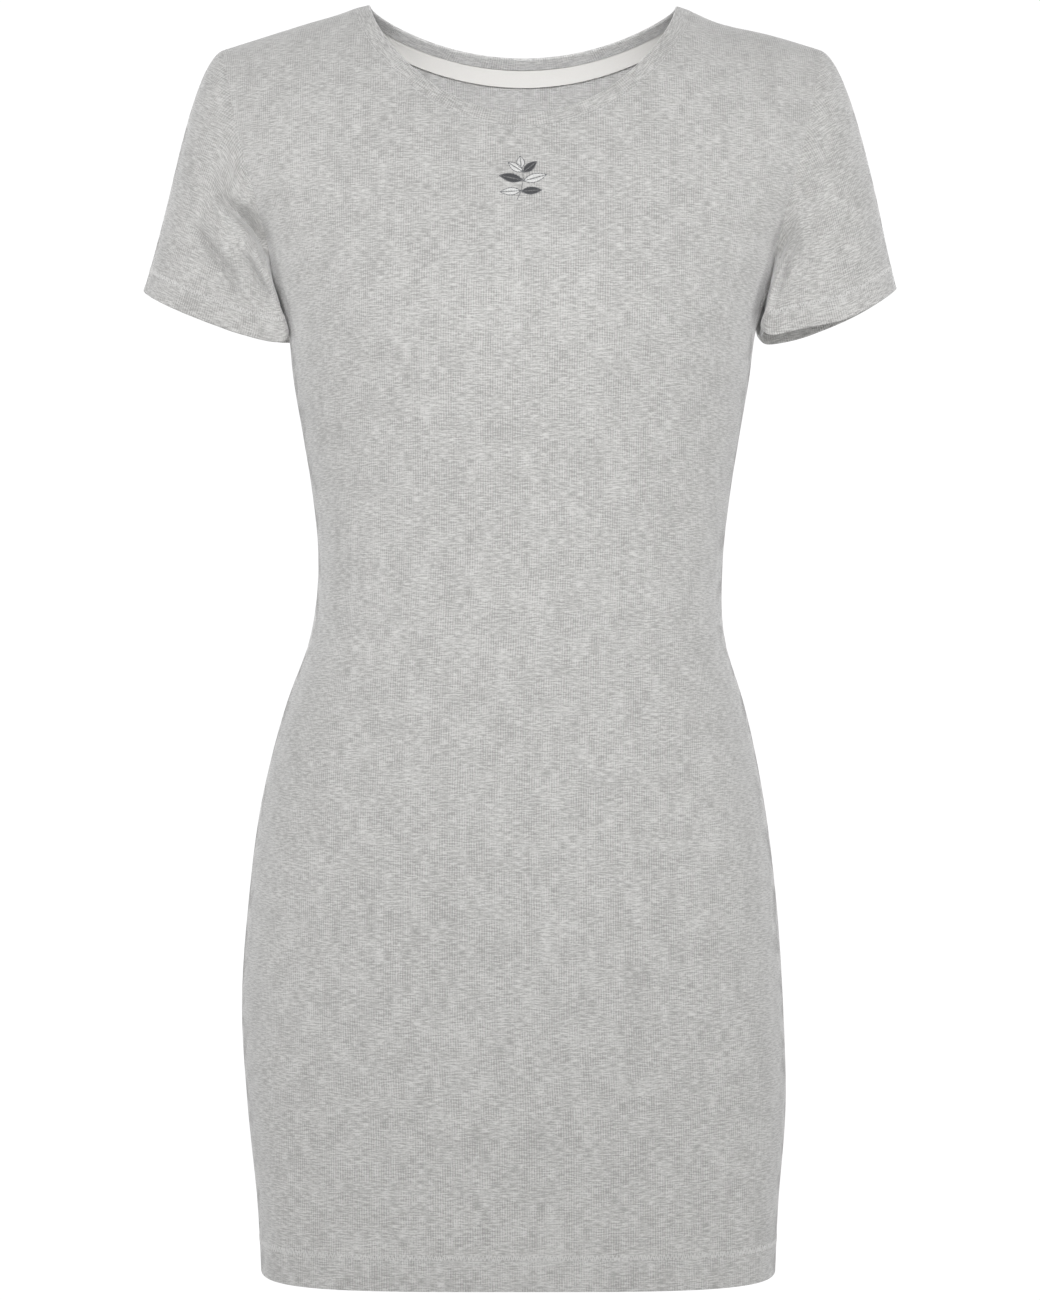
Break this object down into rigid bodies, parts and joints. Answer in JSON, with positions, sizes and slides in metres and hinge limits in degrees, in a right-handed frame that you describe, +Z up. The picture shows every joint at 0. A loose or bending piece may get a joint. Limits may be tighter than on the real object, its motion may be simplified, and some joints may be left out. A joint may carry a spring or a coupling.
{
  "type": "t-shirt dress",
  "caption": "Fitted short-sleeved t-shirt dress in fine rib jersey, round neck with a bound edge, hollow and open at neck, cuffs and hem, filled out as worn.",
  "frame": {"origin": "midway between the two high shoulder points, where the dress hangs from its wearer", "axes": "+Z up, the front faces -Y, +X is to the right seen from the front"},
  "size_m": [0.4809, 0.2305, 0.8026],
  "materials": {
    "rib_jersey": "matt heather grey fine rib jersey",
    "neckband_rib": "matt heather grey folded rib band",
    "tape_twill": "off-white woven tape"
  },
  "bodies": {
    "root": {"front": "rib_jersey", "back": "rib_jersey", "sleeve_left": "rib_jersey", "sleeve_right": "rib_jersey", "neckband": "neckband_rib", "neck_tape": "tape_twill"}
  },
  "joints": []
}
